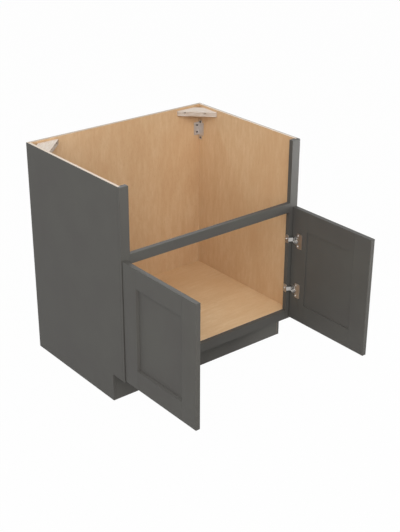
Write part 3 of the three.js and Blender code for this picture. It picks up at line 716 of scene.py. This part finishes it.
def looked_at(tree):
    """1 where the camera sees a surface, straight, in a reflection or through glass; 0 for its light."""
    path = add(tree, "ShaderNodeLightPath")
    seen = path.outputs["Is Camera Ray"]
    for ray in ("Is Glossy Ray", "Is Transmission Ray"):
        seen = add(tree, "ShaderNodeMath", {0: seen, 1: path.outputs[ray]}, operation="MAXIMUM").outputs[0]
    return seen


def studio_floor_shader(tree, place):
    """Grey to the object and white to the camera, the same at every place."""
    grey = add(tree, "ShaderNodeBsdfDiffuse", {"Color": (FLOOR_GREY, FLOOR_GREY, FLOOR_GREY, 1.0)})
    white = add(tree, "ShaderNodeEmission", {"Color": (1.0, 1.0, 1.0, 1.0), "Strength": 1.0})
    inputs = {0: looked_at(tree), 1: FLOOR_GLOW}
    share = add(tree, "ShaderNodeMath", inputs, operation="MULTIPLY").outputs[0]
    inputs = {0: share, 1: grey.outputs[0], 2: white.outputs[0]}
    return add(tree, "ShaderNodeMixShader", inputs).outputs[0]


half = FLOOR_SIZE / 2
corners = [(-half, -half, 0), (half, -half, 0), (half, half, 0), (-half, half, 0)]
floor_mesh = bpy.data.meshes.new("floor")
floor_mesh.from_pydata(corners, [], [(0, 1, 2, 3)])
floor_mesh.materials.append(make_material("white_studio_floor", studio_floor_shader))
floor = bpy.data.objects.new("floor", floor_mesh)
floor.location.z = -UNDER_THE_CABINET_MM * MM
bpy.context.scene.collection.objects.link(floor)
print(f"floor {FLOOR_SIZE} m square")

# %% [markdown]
# ## Backdrop
# Behind everything is the world, which needs no mesh. As with the floor, it is white to the camera and a
# soft, slightly cold grey to the object, so that the insides don't go black.

# %% World
SKY = "#f4f6f8"
SKY_STRENGTH = 0.235

world = bpy.data.worlds.new("studio")
bpy.context.scene.world = world
world.use_nodes = True
tree = world.node_tree
tree.nodes.clear()
ambient = add(tree, "ShaderNodeBackground", {"Color": colour(SKY), "Strength": SKY_STRENGTH})
white = add(tree, "ShaderNodeBackground", {"Color": (1.0, 1.0, 1.0, 1.0), "Strength": 1.0})
inputs = {0: looked_at(tree), 1: ambient.outputs[0], 2: white.outputs[0]}
both = add(tree, "ShaderNodeMixShader", inputs)
add(tree, "ShaderNodeOutputWorld", {"Surface": both.outputs[0]})
print(f"sky {SKY} at {SKY_STRENGTH}")

# %% [markdown]
# ## Lamps
# Most of the light comes from large lamps at the left and high at the front, which keeps shadows soft.
# Small weak ones low down lift the face frame and the free edge of the right door. Two stand behind: a
# faintly blue one above the back fills the open top, and one at the right draws a thin bright line along
# the upper edges. A single large lamp would be simpler, but it leaves either the front or the inside dark.

# %% Lamps
AIM = Vector((0, -0.3, 0.45))
LAMPS = {
    # name: (place in metres, size in metres, power in watts, colour)
    "key_from_left": ((-3.9, -2.6, 1.9), 4.0, 115, "#ffffff"),
    "high_front": ((-2.2, -3.4, 3.4), 2.6, 58, "#ffffff"),
    "high_left": ((-2.6, -1.0, 3.4), 2.2, 27, "#ffffff"),
    "front": ((0.3, -3.8, 2.8), 2.2, 58, "#ffffff"),
    "low_front": ((-0.9, -2.6, 1.0), 1.0, 5, "#fff0e6"),
    "near_right": ((1.25, -1.25, 0.55), 0.5, 11.5, "#ffffff"),
    "above": ((0.0, 1.2, 3.4), 2.0, 28, "#e4f4ff"),
    "rim_behind": ((2.4, 2.9, 2.7), 1.6, 20, "#ffffff"),
}
for name, (place, size, power, tint) in LAMPS.items():
    data = bpy.data.lights.new(name, "AREA")
    data.shape = "DISK"
    data.size = size
    data.energy = power
    data.color = colour(tint)[:3]
    lamp = bpy.data.objects.new(name, data)
    lamp.location = place
    lamp.visible_camera = False
    lamp.rotation_euler = (AIM - Vector(place)).to_track_quat("-Z", "Y").to_euler()
    bpy.context.scene.collection.objects.link(lamp)
print(f"{len(LAMPS)} lamps, {sum(row[2] for row in LAMPS.values())} W")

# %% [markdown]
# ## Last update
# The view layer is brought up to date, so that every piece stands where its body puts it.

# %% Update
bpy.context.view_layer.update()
